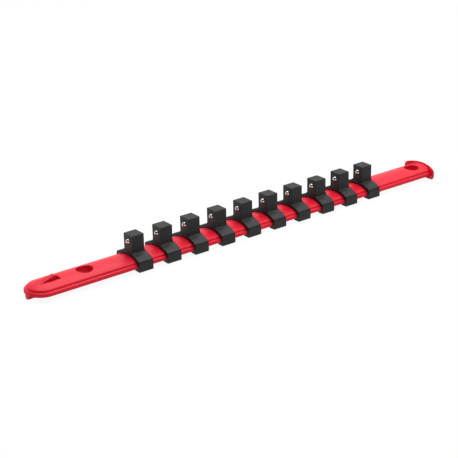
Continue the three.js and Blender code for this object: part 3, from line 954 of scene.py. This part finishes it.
def latch_ramp(shape, latch):
    """The ramp, level with the plateau at its root, narrower and steep at its rounded nose."""
    root, free = RAMP_LOW.x, RAMP_HIGH.x
    floor, top = RAMP_LOW.z, RAMP_HIGH.z
    narrowing = (RAMP_HALF - latch.tip_width / 2) / (free - root)
    root_top = shape.top_at(root, RAMP_HALF)
    slope = math.atan2(top - root_top, free - root)
    nose_x, nose_z = free - latch.nose, top - latch.nose
    shoulder_x = nose_x - latch.nose * math.sin(slope)
    shoulder_z = nose_z + latch.nose * math.cos(slope)

    def height(x, y):
        rise = (x - root) / (shoulder_x - root)
        line = root_top + (shoulder_z - root_top) * rise
        share = max(0, min(1, rise / RAMP_LIFT))
        share = share * share * (3 - 2 * share)
        plateau = shape.top_at(x, y) - RAMP_SINK
        return plateau + (line - plateau) * share

    places = [(x, None) for x in spread(root - RAMP_TUCK, shoulder_x, 30)]
    nose = arc(nose_x, nose_z, latch.nose, QUARTER + slope, 0, 10)[1:]
    rings = []
    for x, z in places + nose:
        half = RAMP_HALF - narrowing * max(0, x - root)
        across = lambda y: height(x, y) if z is None else z
        rings.append(ramp_ring(x, half, floor, latch.edge, across))
    last_x, _ = nose[-1]
    inset = latch.edge / 2
    narrow = 1 - inset / RAMP_HALF
    rings.append([Vector((last_x, y * narrow, max(floor + inset, z))) for _, y, z in rings[-1]])
    return smooth(loft("latch_ramp", rings))


def ramp_ring(x, half, floor, edge, height):
    """An upright ring across the ramp with rounded upper edges."""
    top = arc(half - edge, 0, edge, 0, QUARTER, 3)
    top += [((half - edge) * place, edge) for place in spread(1, -1, 8)[1:-1]]
    top += arc(edge - half, 0, edge, QUARTER, 2 * QUARTER, 3)
    section = [(-half, floor), (half, floor)]
    section += [(y, height(y) - edge + rise) for y, rise in top]
    return upright(section, x)


def clip_arch(clip):
    """The saddle with rounded edges at its two end faces."""
    rings = round_edge(clip.outline(), clip.sizes.edge, clip.length, 4)
    rings += [(points, -x) for points, x in reversed(rings)]
    return loft("clip", [upright(points, x) for points, x in rings])


def clip_tunnel(clip, shape):
    """The way that the rail takes through the clip, open below between the two lips."""
    clearance = clip.sizes.clearance
    lip = clip.half - clip.sizes.lip_reach
    half = [(lip, clip.floor - OVERRUN), (lip, shape.underside)]
    half += shape.half_section()[1:]
    outline = half + [(-y, z) for y, z in reversed(half)]
    edge = clip.sizes.mouth_edge
    end = clip.length / 2
    mouth = [(end - edge, 0), (end - edge / 3, edge / 3), (end, edge), (end + OVERRUN, edge)]
    sections = [(-x, wider) for x, wider in reversed(mouth)] + mouth
    rings = [upright(offset(outline, clearance + wider), x) for x, wider in sections]
    return loft("tunnel", rings)


def clip_stud(clip):
    """The square drive stud, filleted on to the arch and rounded round its top."""
    sizes = clip.sizes
    corner = sizes.stud_corner
    inner = clip.stud_half - corner
    square = []
    for side, (a, b) in enumerate(((1, 1), (-1, 1), (-1, -1), (1, -1))):
        start = side * QUARTER
        square += arc(a * inner, b * inner, corner, start, start + QUARTER, 6)
    along, across = (1 + reach / clip.stud_half for reach in (sizes.root_along, sizes.root_across))
    rings = [[Vector((x * along, y * across, clip.arch_at(y * across) - SEAT)) for x, y in square]]
    root_start = math.radians(4)
    for turn in spread(root_start, QUARTER, 9):
        share = 1 - math.sin(turn)
        a, b = 1 + (along - 1) * share, 1 + (across - 1) * share
        points = [(x * a, y * b) for x, y in square]
        lift = sizes.root_rise * (1 - math.cos(turn))
        rings.append([Vector((x, y, clip.arch_at(y) + lift)) for x, y in points])
    edge = sizes.stud_edge
    for turn in spread(0, QUARTER, 5):
        points = offset(square, -edge * (1 - math.cos(turn)))
        rings.append(level(points, CLIP_HIGH.z - edge * (1 - math.sin(turn))))
    return loft("stud", rings)


def detent_bore(clip, detent):
    """The mouth that keeps the ball in, and the blind bore behind it."""
    face = -clip.stud_half
    mouth = detent.mouth_diameter / 2
    soft = detent.mouth_edge
    bore = detent.bore_diameter / 2
    levels = [
        (mouth + soft, face - OVERRUN),
        (mouth + soft, face),
        (mouth + soft / 3, face + soft / 3),
        (mouth, face + soft),
        (bore, face + detent.lip_depth),
        (bore, face + detent.bore_depth),
    ]
    return rod("bore", (BALL_LOW.z + BALL_HIGH.z) / 2, levels)


def clip_shape(sizes, detent, shape):
    """One clip with its stud, its tunnel and its bore, standing at x = 0."""
    clip = ClipShape(sizes)
    body = clip_arch(clip)
    combine(body, clip_stud(clip), "UNION")
    combine(body, clip_tunnel(clip, shape), "DIFFERENCE")
    return combine(body, detent_bore(clip, detent), "DIFFERENCE")


def ball_shape():
    """One ball with its poles on X, at the origin."""
    radius = (BALL_HIGH.z - BALL_LOW.z) / 2
    ball = rod("ball", 0, arc(0, 0, radius, -QUARTER, QUARTER, 28)[1:-1])
    mesh = bmesh.new()
    mesh.from_mesh(ball.data)
    for face in [face for face in mesh.faces if len(face.verts) > 4]:
        pole = bmesh.ops.poke(mesh, faces=[face])["verts"][0]
        pole.co = Vector((math.copysign(radius, pole.co.x), 0, 0))
    mesh.to_mesh(ball.data)
    mesh.free()
    return ball


class RailBuilder:
    """Shared by the operators: the rail's shape from the sizes that the panel shows."""

    bl_options = {"REGISTER", "UNDO"}

    def shape(self, context):
        return RailShape(context.scene.rail_sizes, context.scene.rail_stop)


class SOCKETRAIL_OT_moulding(RailBuilder, bpy.types.Operator):
    """Builds the rail moulding with its holes, slot, foot and end stop"""

    bl_idname = "socketrail.moulding"
    bl_label = "Rail moulding"

    def execute(self, context):
        scene = context.scene
        moulding = rail_moulding(scene.rail_sizes, scene.rail_stop, scene.rail_latch)
        dress(moulding, "red_plastic", "rail", "rail")
        return {"FINISHED"}


class SOCKETRAIL_OT_ribs(RailBuilder, bpy.types.Operator):
    """Builds the cross ribs in the hollow under the rail"""

    bl_idname = "socketrail.ribs"
    bl_label = "Cross ribs"

    def execute(self, context):
        shape = self.shape(context)
        sizes = shape.sizes
        boss = sizes.hole_diameter / 2 + sizes.boss_wall + sizes.rib_wall
        span = shape.holes[1] - shape.holes[0] - 2 * boss
        steps = math.floor(span / sizes.rib_spacing)
        start = ((shape.holes[0] + shape.holes[1] - steps * sizes.rib_spacing) / 2, 0, 0)
        step = (sizes.rib_spacing, 0, 0)
        rib = rib_shape(shape)
        row = {"shape": rib, "count": steps + 1, "start": start, "step": step}
        ribs_tree().grow("rail_ribs", "red_plastic", "rail", **row)
        behind = RAMP_HIGH.x + context.scene.rail_latch.end_gap + sizes.slot_rib_gap
        place = (behind + sizes.rib_wall / 2, 0, 0)
        copies_tree().grow("slot_rib", "red_plastic", "rail", shape=rib, place=place)
        remove(rib)
        return {"FINISHED"}


class SOCKETRAIL_OT_latch(RailBuilder, bpy.types.Operator):
    """Builds the latch ramp, from its root on the plateau to its rounded nose"""

    bl_idname = "socketrail.latch"
    bl_label = "Latch ramp"

    def execute(self, context):
        latch = context.scene.rail_latch
        ramp = latch_ramp(self.shape(context), latch)
        dress(ramp, "red_plastic", None, "latch_tongue")
        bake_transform(ramp)
        return {"FINISHED"}


class SOCKETRAIL_OT_clips(RailBuilder, bpy.types.Operator):
    """Builds the sliding clips with their drive studs"""

    bl_idname = "socketrail.clips"
    bl_label = "Clips"

    def execute(self, context):
        scene = context.scene
        pattern = clip_shape(scene.rail_clip, scene.rail_detent, self.shape(context))
        tree = copies_tree()
        for number in CLIP_NUMBERS:
            low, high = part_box(f"clip_{number}")
            body = f"clip_{number}"
            piece = (f"clip_moulding_{number}", "black_plastic", body, body)
            tree.grow(*piece, shape=pattern, place=((low.x + high.x) / 2, 0, 0))
        remove(pattern)
        return {"FINISHED"}


class SOCKETRAIL_OT_balls(RailBuilder, bpy.types.Operator):
    """Builds the steel balls in the studs"""

    bl_idname = "socketrail.balls"
    bl_label = "Detent balls"

    def execute(self, context):
        pattern = ball_shape()
        tree = copies_tree()
        for number in CLIP_NUMBERS:
            low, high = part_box(f"detent_ball_{number}")
            body = f"detent_ball_{number}"
            piece = (f"steel_ball_{number}", "ball_steel", body, body)
            tree.grow(*piece, shape=pattern, place=(low + high) / 2)
        remove(pattern)
        return {"FINISHED"}


class SOCKETRAIL_OT_springs(RailBuilder, bpy.types.Operator):
    """Winds the coil springs behind the balls"""

    bl_idname = "socketrail.springs"
    bl_label = "Detent springs"

    def execute(self, context):
        detent = context.scene.rail_detent
        long = SPRING_HIGH.x - SPRING_LOW.x
        coil = {
            "turns": detent.turns,
            "steps": detent.curl_steps,
            "radius": (SPRING_HIGH.z - SPRING_LOW.z - detent.wire) / 2,
            "height": long - detent.wire,
            "wire_radius": detent.wire / 2,
        }
        tree = spring_tree()
        for number in CLIP_NUMBERS:
            low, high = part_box(f"detent_spring_{number}")
            node = f"detent_spring_{number}"
            middle = (low + high) / 2
            piece = (f"coil_spring_{number}", "spring_steel", f"clip_{number}", node)
            spring = tree.grow(*piece, place=(low.x + detent.wire / 2, 0, middle.z), **coil)
            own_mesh(spring)
        return {"FINISHED"}


class SOCKETRAIL_OT_stage(RailBuilder, bpy.types.Operator):
    """Sets the floor, the lamps and the camera"""

    bl_idname = "socketrail.stage"
    bl_label = "Stage"

    def execute(self, context):
        stage = context.scene.rail_stage
        lay_floor(stage, context.scene.rail_finishes)
        light_world(context.scene, stage)
        hang_lamps()
        place_camera(context.scene, stage)
        context.scene.view_settings.view_transform = "Standard"
        return {"FINISHED"}


def lay_floor(stage, finishes):
    """A pale floor, white to the camera but for the soft shadow, and open when seen from below."""
    half = stage.floor_side / 2
    mesh = bmesh.new()
    corners = ((-1, -1), (1, -1), (1, 1), (-1, 1))
    mesh.faces.new([mesh.verts.new((a * half, b * half, 0)) for a, b in corners])
    floor = mesh_object("floor", mesh)
    finish = Finish("floor", {"Roughness": 0.9, "Base Color": (*finishes.floor, 1)})
    along, across = finish.split(finish.coordinates(), "X", "Y")
    start, edge = RAIL_LOW.x + stage.hidden_start, stage.hidden_edge
    hidden = along.within(start, start + edge)
    hidden = hidden * across.within(-stage.hidden_front - edge, -stage.hidden_front)
    clear = 1 - hidden * (1 - across.within(stage.hidden_back - edge, stage.hidden_back))
    seen = finish.ray("Is Camera Ray") + finish.ray("Is Glossy Ray")
    seen = seen + finish.ray("Is Transmission Ray")
    glow = finish.node("ShaderNodeEmission", {}, {"Color": WHITE, "Strength": 1})
    share = seen * clear * stage.floor_glow
    above = finish.node("ShaderNodeMixShader", {}, {0: share, 1: finish.plain, 2: glow})
    below = finish.node("ShaderNodeBsdfTransparent", {}, {})
    behind = finish.node("ShaderNodeNewGeometry", {}, {}, "Backfacing")
    finish.show(finish.node("ShaderNodeMixShader", {}, {0: behind, 1: above, 2: below}))
    floor.data.materials.append(finish.material)


def light_world(scene, stage):
    """A plain room, bright above and behind the rail and dimmer in front of it."""
    world = bpy.data.worlds.new("room")
    world.use_nodes = True
    room = Shading(world.node_tree, "ShaderNodeOutputWorld")
    ahead = {0: room.node("ShaderNodeTexCoord", {}, {}, "Generated"), 1: stage.bright_side}
    towards = room.node("ShaderNodeVectorMath", {"operation": "DOT_PRODUCT"}, ahead, "Value")
    full_at = 0.7  # at its brightest within about 45 degrees of the bright side
    bright = stage.room_dim + (1 - stage.room_dim) * towards.within(0, full_at)
    mirrored = room.ray("Is Glossy Ray") + room.ray("Is Transmission Ray")
    lit = bright * (stage.room_level + (stage.mirror_level - stage.room_level) * mirrored)
    strength = lit + (1 - lit) * room.ray("Is Camera Ray")
    room.show(room.node("ShaderNodeBackground", {}, {"Color": WHITE, "Strength": strength}))
    scene.world = world


def hang_lamps():
    """A soft box over the rail and a small one behind the latch end: place, side and power."""
    lamps = {
        "top": ((0.3, 0.2, 1.4), 1.7, 25),
        "side": ((-0.9, 1.1, 0.35), 0.3, 0.8),
    }
    for name, (place, side, power) in lamps.items():
        data = bpy.data.lights.new(name, "AREA")
        data.size = side
        data.energy = power
        lamp = bpy.data.objects.new(name, data)
        lamp.location = place
        lamp.rotation_euler = Vector(place).to_track_quat("Z", "Y").to_euler()
        bpy.context.scene.collection.objects.link(lamp)


def place_camera(scene, stage):
    """The camera at the photograph's angle."""
    data = bpy.data.cameras.new("camera")
    data.lens = stage.lens
    data.clip_end = 20
    camera = bpy.data.objects.new("camera", data)
    right, up = Vector(stage.camera_right), Vector(stage.camera_up)
    turn = Matrix((right, up, right.cross(up))).transposed()
    camera.matrix_world = Matrix.Translation(stage.camera_place) @ turn.to_4x4()
    scene.collection.objects.link(camera)
    scene.camera = camera


BUILDERS = (
    SOCKETRAIL_OT_moulding,
    SOCKETRAIL_OT_ribs,
    SOCKETRAIL_OT_latch,
    SOCKETRAIL_OT_clips,
    SOCKETRAIL_OT_balls,
    SOCKETRAIL_OT_springs,
    SOCKETRAIL_OT_stage,
)
GROUPS = {
    "rail_sizes": RailSizes,
    "rail_stop": StopSizes,
    "rail_latch": LatchSizes,
    "rail_clip": ClipSizes,
    "rail_detent": DetentSizes,
    "rail_finishes": Finishes,
    "rail_stage": StageSizes,
}


class SOCKETRAIL_PT_panel(bpy.types.Panel):
    """Lists the rail's sizes and the operators that build it."""

    bl_label = "Socket rail"
    bl_space_type = "VIEW_3D"
    bl_region_type = "UI"
    bl_category = "Socket rail"

    def draw(self, context):
        for builder in BUILDERS:
            self.layout.operator(builder.bl_idname)
        for label, group in GROUPS.items():
            box = self.layout.box()
            settings = getattr(context.scene, label)
            for name in group.__annotations__:
                box.prop(settings, name)


def register():
    for kind in (*GROUPS.values(), *BUILDERS, SOCKETRAIL_PT_panel):
        bpy.utils.register_class(kind)
    for label, group in GROUPS.items():
        setattr(bpy.types.Scene, label, PointerProperty(type=group))


def unregister():
    for label in GROUPS:
        delattr(bpy.types.Scene, label)
    for kind in (SOCKETRAIL_PT_panel, *BUILDERS, *GROUPS.values()):
        bpy.utils.unregister_class(kind)


def main():
    register()
    bpy.ops.socketrail.moulding()
    bpy.ops.socketrail.ribs()
    bpy.ops.socketrail.latch()
    bpy.ops.socketrail.clips()
    bpy.ops.socketrail.balls()
    bpy.ops.socketrail.springs()
    bpy.ops.socketrail.stage()


if __name__ == "__main__":
    main()
